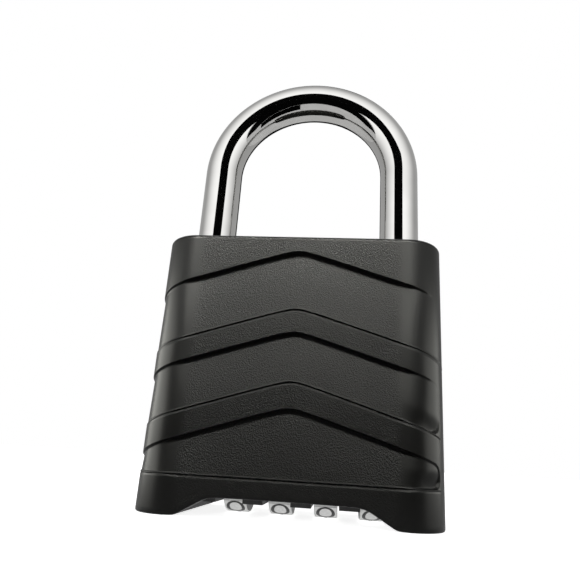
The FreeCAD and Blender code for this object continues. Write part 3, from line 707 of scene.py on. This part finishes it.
def metal(name, dark, light, rough, grain_mm, bump_mm, stretch=(1, 1, 1)):
    shader = Shader(name, Metallic=1.0)
    shader.colours(shader.noise(grain_mm * 4), dark, light)
    shader.rough(shader.noise(grain_mm, 3.0, 0.6, stretch), *rough)
    shader.bump(shader.noise(grain_mm, 3.0, 0.6, stretch), bump_mm, 0.6)
    return shader.material


# How far a face must point sideways before it gets the painted dark reflection of a dial's side: from start
# to fully.
PAINTED_REFLECTION_FACING = (0.8, 0.95)
# Colour of the painted dark reflection on the dials' side faces.
PAINTED_SIDE_REFLECTION = (0.012, 0.012, 0.012, 1)


def dial_silver():
    """Satin silver rim, with a painted dark reflection on the side faces."""
    shader = Shader("dial_silver", Metallic=0.35)
    shader.colours(shader.noise(0.5), (0.52, 0.52, 0.515), (0.62, 0.62, 0.615))
    rim_colour = shader.surface.inputs["Base Color"].links[0].from_socket
    facing = shader.add("ShaderNodeSeparateXYZ")
    texture_space = shader.coordinates.node
    shader.links.new(texture_space.outputs["Normal"], facing.inputs["Vector"])
    # Mask of the sideways faces that get the painted dark reflection instead of the rim colour.
    side = shader.mapped(shader.math("ABSOLUTE", facing.outputs["X"], 0.0), 0.0, 1.0, *PAINTED_REFLECTION_FACING)
    mix = shader.add("ShaderNodeMix", data_type="RGBA")
    shader.links.new(side, mix.inputs["Factor"])
    shader.links.new(rim_colour, mix.inputs["A"])
    mix.inputs["B"].default_value = PAINTED_SIDE_REFLECTION
    shader.links.new(mix.outputs["Result"], shader.surface.inputs["Base Color"])
    shader.rough(shader.noise(0.12, 3.0, 0.6, (1, 6, 6)), 0.3, 0.42)
    shader.bump(shader.noise(0.12, 3.0, 0.6, (1, 6, 6)), 0.004, 0.6)
    return shader.material


def moulded(name, dark, light, rough):
    shader = Shader(name)
    shader.colours(shader.noise(0.8, 3.0), dark, light)
    shader.rough(shader.noise(1.0), *rough)
    shader.bump(shader.noise(0.15), 0.006, 0.5)
    return shader.material


# Stretch of the grain of drawn wire and rod, along X.
DRAWN = (8, 1, 1)

MATERIALS = {
    "black_paint": black_paint(),
    "black_plate": black_plate(),
    "chrome_bar": chrome(),
    "zinc_casting": metal("zinc_casting", (0.3, 0.3, 0.31), (0.46, 0.46, 0.47), (0.45, 0.62), 0.4, 0.02),
    "black_nylon": moulded("black_nylon", (0.02, 0.02, 0.02), (0.035, 0.035, 0.035), (0.45, 0.6)),
    "plain_steel": metal(
        "plain_steel", (0.42, 0.42, 0.43), (0.58, 0.58, 0.58), (0.22, 0.38), 0.2, 0.004, DRAWN,
    ),
    "spring_steel": metal(
        "spring_steel", (0.4, 0.4, 0.4), (0.55, 0.55, 0.56), (0.2, 0.32), 0.2, 0.003, DRAWN,
    ),
    "bronze_bush": metal("bronze_bush", (0.42, 0.26, 0.12), (0.6, 0.4, 0.2), (0.35, 0.5), 0.25, 0.006),
    "hub_brass": metal("hub_brass", (0.58, 0.42, 0.18), (0.74, 0.56, 0.28), (0.25, 0.4), 0.3, 0.004),
    "dial_silver": dial_silver(),
    "dark_screws": metal("dark_screws", (0.05, 0.05, 0.05), (0.1, 0.1, 0.1), (0.3, 0.45), 0.2, 0.006),
}
DIGIT_INK = moulded("digit_ink", (0.004, 0.004, 0.004), (0.009, 0.009, 0.009), (0.3, 0.42))


def paint(piece, material):
    piece.data.materials.clear()
    piece.data.materials.append(material)


def dress_cad_nodes():
    for row in frame["record"]["subparts"]:
        paint(frame["nodes"][row["node"]], MATERIALS[row["material_slot"]])


# ---- stage ----
CAMERA_PLACE = (8.40, -98.65, 9.50)
CAMERA_TURN = math.radians(5.6)
CAMERA_PITCH = math.radians(16.6)
CAMERA_ROLL = math.radians(3.58)
CAMERA_LENS = 31.2
CAMERA_SHIFT = (-0.0105, 0.038)


def make_camera():
    data = bpy.data.cameras.new("camera")
    data.lens = CAMERA_LENS
    data.sensor_width = 36.0
    data.shift_x, data.shift_y = CAMERA_SHIFT
    data.clip_start, data.clip_end = 0.002, 20.0
    camera = bpy.data.objects.new("camera", data)
    ahead = Vector((
        -math.sin(CAMERA_TURN) * math.cos(CAMERA_PITCH),
        math.cos(CAMERA_TURN) * math.cos(CAMERA_PITCH),
        math.sin(CAMERA_PITCH),
    ))
    level = Vector((math.cos(CAMERA_TURN), math.sin(CAMERA_TURN), 0))
    raised = level.cross(ahead)
    right = math.cos(CAMERA_ROLL) * level + math.sin(CAMERA_ROLL) * raised
    up = math.cos(CAMERA_ROLL) * raised - math.sin(CAMERA_ROLL) * level
    turn = Matrix((right, up, -ahead)).transposed().to_4x4()
    camera.matrix_world = Matrix.Translation(Vector(CAMERA_PLACE) * MM) @ turn
    bpy.context.scene.collection.objects.link(camera)
    bpy.context.scene.camera = camera


def plain(name, colour, glow=0.0):
    """Flat matte stage surface."""
    shader = Shader(name, Roughness=1.0, Specular_IOR_Level=0.0)
    shader.surface.inputs["Base Color"].default_value = (colour, colour, colour, 1)
    shader.surface.inputs["Emission Color"].default_value = (1, 1, 1, 1)
    shader.surface.inputs["Emission Strength"].default_value = glow
    return shader.material


FLOOR_REACH = 4000.0
# Name, colour, glow, and how far it lies under the feet.
FLOORS = (("floor", 0.9, 0.85, 0.02), ("reflected_floor", 0.42, 0.0, 0.03))


def make_floor():
    """A wide plain floor that glows, seen by the camera, and a dimmer one that only reflections see."""
    corners = [(a, b, 0) for a, b in rectangle(-FLOOR_REACH, FLOOR_REACH, -FLOOR_REACH, FLOOR_REACH)]
    for name, colour, glow, drop in FLOORS:
        floor = mesh_object(name, corners, [(0, 1, 2, 3)])
        floor.location.z = -drop * MM
        paint(floor, plain(name, colour, glow))
        seen = name == "floor"
        floor.visible_camera = floor.visible_diffuse = floor.visible_shadow = seen
        floor.visible_glossy = not seen


CARD_THICKNESS = 1.0
CARD_COLOUR = 0.002
# Name, outline, place along the axis that the card faces, and that axis.
CARDS = (
    ("flag", rectangle(-46.0, 50.0, 30.0, 150.0), -105.0, "y"),
    ("low_flag", rectangle(-250.0, 250.0, 0.0, 72.0), -130.0, "y"),
    ("mat", rectangle(15.0, 160.0, -125.0, -45.0), 0.0, "z"),
    ("back_flag", rectangle(-60.0, 60.0, 65.0, 400.0), 160.0, "y"),
)


def make_flags():
    """Black cards in front of and behind the lock, and a mat on the ground. Only reflections see them."""
    for name, shape, place, axis in CARDS:
        card = prism(name, shape, place, place + CARD_THICKNESS, axis)
        paint(card, plain(name, CARD_COLOUR))
        card.visible_camera = card.visible_shadow = card.visible_diffuse = False


WARM_WHITE = (1.0, 1.0, 0.93)
# Name, place, aim, size, brightness, and the angle in degrees that the light spreads over.
LAMPS = (
    ("key", (-12, -141, 191), (-6, 0, 80), (260, 90), 14.5, 34.0),
    ("left_strip", (-205, -40, 45), (0, 0, 30), (250, 110), 7.0, 180.0),
    ("right_strip", (205, -30, 45), (0, 0, 30), (250, 90), 4.6, 180.0),
)


def make_light(name, place_mm, aim_mm, size_mm, radiance, spread):
    """A soft box: an even rectangle of light, narrowed by a grid when its spread is under 180."""
    data = bpy.data.lights.new(name, "AREA")
    data.shape = "RECTANGLE"
    data.size, data.size_y = (length * MM for length in size_mm)
    data.energy = radiance * math.pi * data.size * data.size_y
    data.color = WARM_WHITE
    data.spread = math.radians(spread)
    lamp = bpy.data.objects.new(name, data)
    lamp.location = Vector(place_mm) * MM
    lamp.rotation_euler = (Vector(aim_mm) - Vector(place_mm)).to_track_quat("-Z", "Y").to_euler()
    bpy.context.scene.collection.objects.link(lamp)
    return lamp


def light_shells(shells):
    """The lamps light only the two painted shells.

    Everything else has the light of the tent and the floor.
    """
    painted = bpy.data.collections.new("painted")
    for piece in shells:
        painted.objects.link(piece)
    for lamp in LAMPS:
        make_light(*lamp).light_linking.receiver_collection = painted


# The tent's brightness in front and behind, and the directions along Y that it changes between.
TENT_FRONT, TENT_BACK = 1.45, 0.45
TENT_FADE = (-0.95, 0.25)


def make_world():
    """Tent that is brightest in front and dimmer behind for all light, and plain white to the camera."""
    world = bpy.data.worlds.new("tent")
    world.use_nodes = True
    nodes, links = world.node_tree.nodes, world.node_tree.links
    tent = nodes["Background"]
    place = nodes.new("ShaderNodeTexCoord")
    split = nodes.new("ShaderNodeSeparateXYZ")
    level = nodes.new("ShaderNodeMapRange")
    level.interpolation_type = "SMOOTHSTEP"
    level.inputs["From Min"].default_value = TENT_FADE[0]
    level.inputs["From Max"].default_value = TENT_FADE[1]
    level.inputs["To Min"].default_value = TENT_FRONT
    level.inputs["To Max"].default_value = TENT_BACK
    links.new(place.outputs["Generated"], split.inputs["Vector"])
    links.new(split.outputs["Y"], level.inputs["Value"])
    links.new(level.outputs["Result"], tent.inputs["Strength"])
    backdrop = nodes.new("ShaderNodeBackground")
    backdrop.inputs["Strength"].default_value = 1.0
    backdrop.inputs["Color"].default_value = (1, 1, 1, 1)
    tent.inputs["Color"].default_value = (1, 1, 1, 1)
    seen = nodes.new("ShaderNodeLightPath")
    mix = nodes.new("ShaderNodeMixShader")
    links.new(seen.outputs["Is Camera Ray"], mix.inputs["Fac"])
    links.new(tent.outputs["Background"], mix.inputs[1])
    links.new(backdrop.outputs["Background"], mix.inputs[2])
    links.new(mix.outputs["Shader"], nodes["World Output"].inputs["Surface"])
    bpy.context.scene.world = world


def main():
    dress_cad_nodes()
    front = make_front_shell()
    rear = make_rear_shell()
    for piece, node in ((front, "front_shell"), (rear, "rear_shell")):
        paint(piece, MATERIALS["black_paint"])
        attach(piece, "body")
        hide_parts(node)
    bar = make_shackle()
    paint(bar, MATERIALS["chrome_bar"])
    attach(bar, "shackle")
    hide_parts("shackle")
    for dial in DIALS:
        digits = make_digits(dial)
        paint(digits, DIGIT_INK)
        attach(digits, dial)
    make_camera()
    make_floor()
    make_flags()
    light_shells((front, rear))
    make_world()
    scene = bpy.context.scene
    scene.view_settings.view_transform = "Standard"
    scene.view_settings.look = "None"


main()
